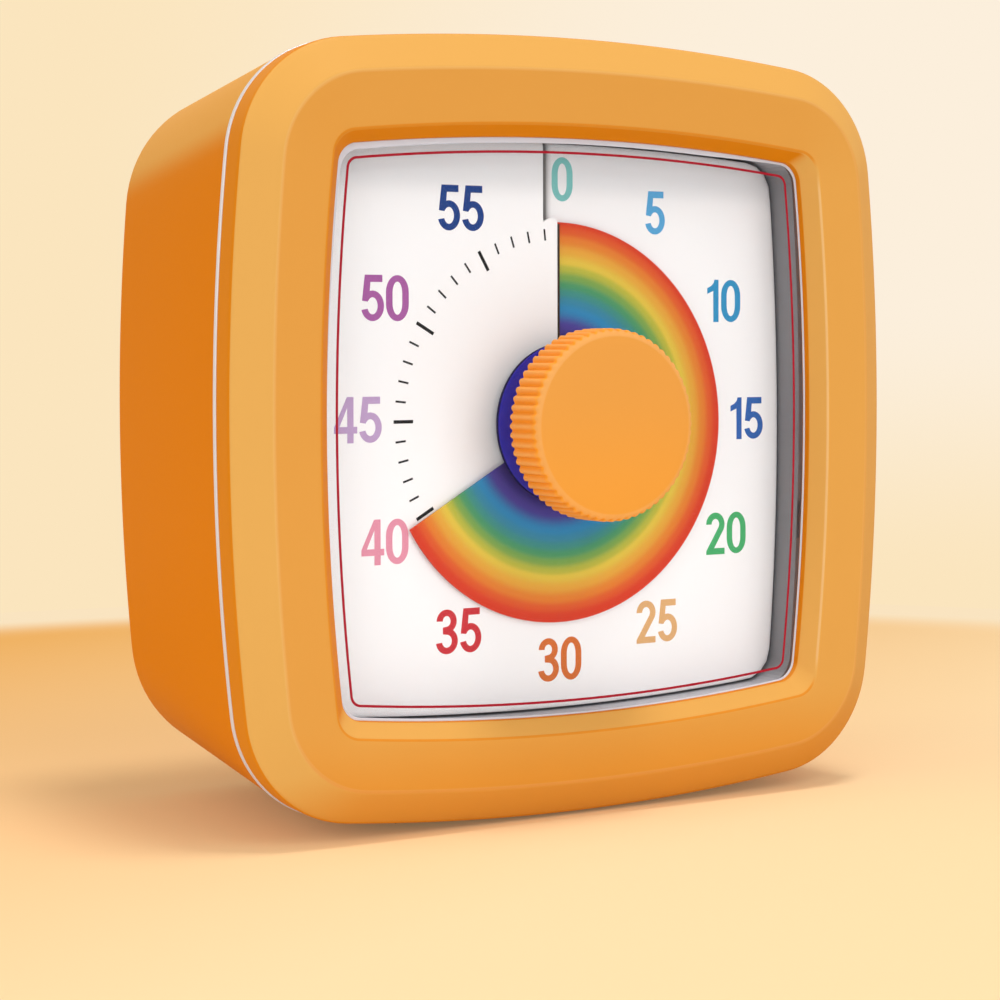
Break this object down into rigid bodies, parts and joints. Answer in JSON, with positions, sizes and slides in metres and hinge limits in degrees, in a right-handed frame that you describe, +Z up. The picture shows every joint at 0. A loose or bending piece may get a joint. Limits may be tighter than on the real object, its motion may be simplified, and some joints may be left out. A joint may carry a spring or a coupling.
{
  "type": "visual countdown timer",
  "caption": "Bowed square countdown timer: a ridged knob winds a rainbow disc through a slit in a white sixty-minute dial behind a clear window.",
  "frame": {"origin": "centre of the overall outline, at the ground under the rubber feet", "axes": "+Z up; the face looks towards -Y and the back towards +Y; +X is to the right seen from the front"},
  "size_m": [0.078, 0.0412, 0.0783],
  "materials": {
    "bezel_plastic": "satin moulded, tan orange",
    "shell_plastic": "satin moulded, deeper orange",
    "silver_trim": "thin silver-coloured ring",
    "clear_plastic": "clear moulded window",
    "grey_plastic": "moulded grey",
    "white_dial": "white sheet with printed ticks and numbers",
    "rainbow_film": "printed film, red outside to indigo inside",
    "indigo_plastic": "moulded indigo",
    "dark_plastic": "moulded dark grey",
    "knob_plastic": "moulded orange",
    "steel": "plain",
    "brass": "stamped",
    "natural_plastic": "natural white gear plastic",
    "magnet": "dark sintered magnet",
    "enamelled_copper": "fine enamelled copper wire",
    "board_green": "glass-fibre board with green mask",
    "black_plastic": "moulded black",
    "cell_sleeve": "plain printed sleeve over steel",
    "nickel_strip": "nickel-plated strip and wire",
    "red_sleeve": "soft red insulation",
    "yellow_sleeve": "soft yellow insulation",
    "white_sleeve": "soft white insulation",
    "black_rubber": "soft strips"
  },
  "bodies": {
    "case": {"front_bezel": "bezel_plastic", "trim_ring": "silver_trim", "rear_shell": "shell_plastic", "back_cover": "shell_plastic", "lens": "clear_plastic", "inner_frame": "grey_plastic", "dial_seat": "grey_plastic", "dial_plate": "white_dial", "movement_cover": "dark_plastic", "movement_base": "dark_plastic", "stator": "steel", "coil_bobbin": "natural_plastic", "coil_winding": "enamelled_copper", "circuit_board": "board_green", "control_chip": "black_plastic", "quartz_crystal": "steel", "buzzer": "black_plastic", "volume_switch": "steel", "battery_cell": "cell_sleeve", "plus_contact": "nickel_strip", "spring_contact": "nickel_strip", "red_lead": "red_sleeve", "black_lead": "black_plastic", "buzzer_leads": "yellow_sleeve", "switch_leads": "white_sleeve", "case_screws": "steel", "frame_screws": "steel", "movement_screws": "steel", "board_screws": "steel", "rubber_feet": "black_rubber"},
    "knob_drive": {"knob": "knob_plastic", "spindle": "steel", "disc_hub": "indigo_plastic", "hub_washer": "dark_plastic", "clutch_spring": "brass", "retaining_clip": "steel"},
    "disc": {"rainbow_disc": "rainbow_film"},
    "centre_wheel": {"centre_wheel": "brass"},
    "second_wheel": {"second_wheel": "natural_plastic"},
    "third_wheel": {"third_wheel": "natural_plastic"},
    "rotor": {"rotor": "magnet"},
    "volume_slider": {"volume_slider": "black_plastic"},
    "battery_door": {"battery_door": "shell_plastic"}
  },
  "joints": [
    {"name": "knob_turn", "type": "hinge", "parent": "case", "child": "knob_drive", "pos_m": [0, -0.00962, 0.03975], "axis": [0, 1, 0], "range_deg": [-240, 120]},
    {"name": "disc_wind", "type": "slide", "parent": "knob_drive", "child": "disc", "axis": [0, -1, 0], "range_m": [-0.00083, 0.00043]},
    {"name": "second_spin", "type": "hinge", "parent": "case", "child": "second_wheel", "pos_m": [-0.0126, -0.00962, 0.03975], "axis": [0, 1, 0], "range_deg": [-360, 360]},
    {"name": "centre_spin", "type": "hinge", "parent": "case", "child": "centre_wheel", "pos_m": [0, -0.00962, 0.03975], "axis": [0, 1, 0], "range_deg": [-60.1, 60.1]},
    {"name": "third_spin", "type": "hinge", "parent": "case", "child": "third_wheel", "pos_m": [-0.0126, -0.00962, 0.05025], "axis": [0, 1, 0], "range_deg": [-2160, 2160]},
    {"name": "rotor_spin", "type": "hinge", "parent": "case", "child": "rotor", "pos_m": [-0.00724, -0.00962, 0.05475], "axis": [0, 1, 0], "range_deg": [-12960, 12960]},
    {"name": "volume_slide", "type": "slide", "parent": "case", "child": "volume_slider", "axis": [1, 0, 0], "range_m": [0, 0.004]},
    {"name": "door_hinge", "type": "hinge", "parent": "case", "child": "battery_door", "pos_m": [0, 0.01982, 0.01146], "axis": [-1, 0, 0], "range_deg": [0, 75]}
  ],
  "couplings": [
    {"joint": "disc_wind", "follows": "knob_turn", "m_per_rad": 0.00019099},
    {"joint": "centre_spin", "follows": "second_spin", "ratio": -0.16667},
    {"joint": "third_spin", "follows": "second_spin", "ratio": -6},
    {"joint": "rotor_spin", "follows": "second_spin", "ratio": 36}
  ]
}
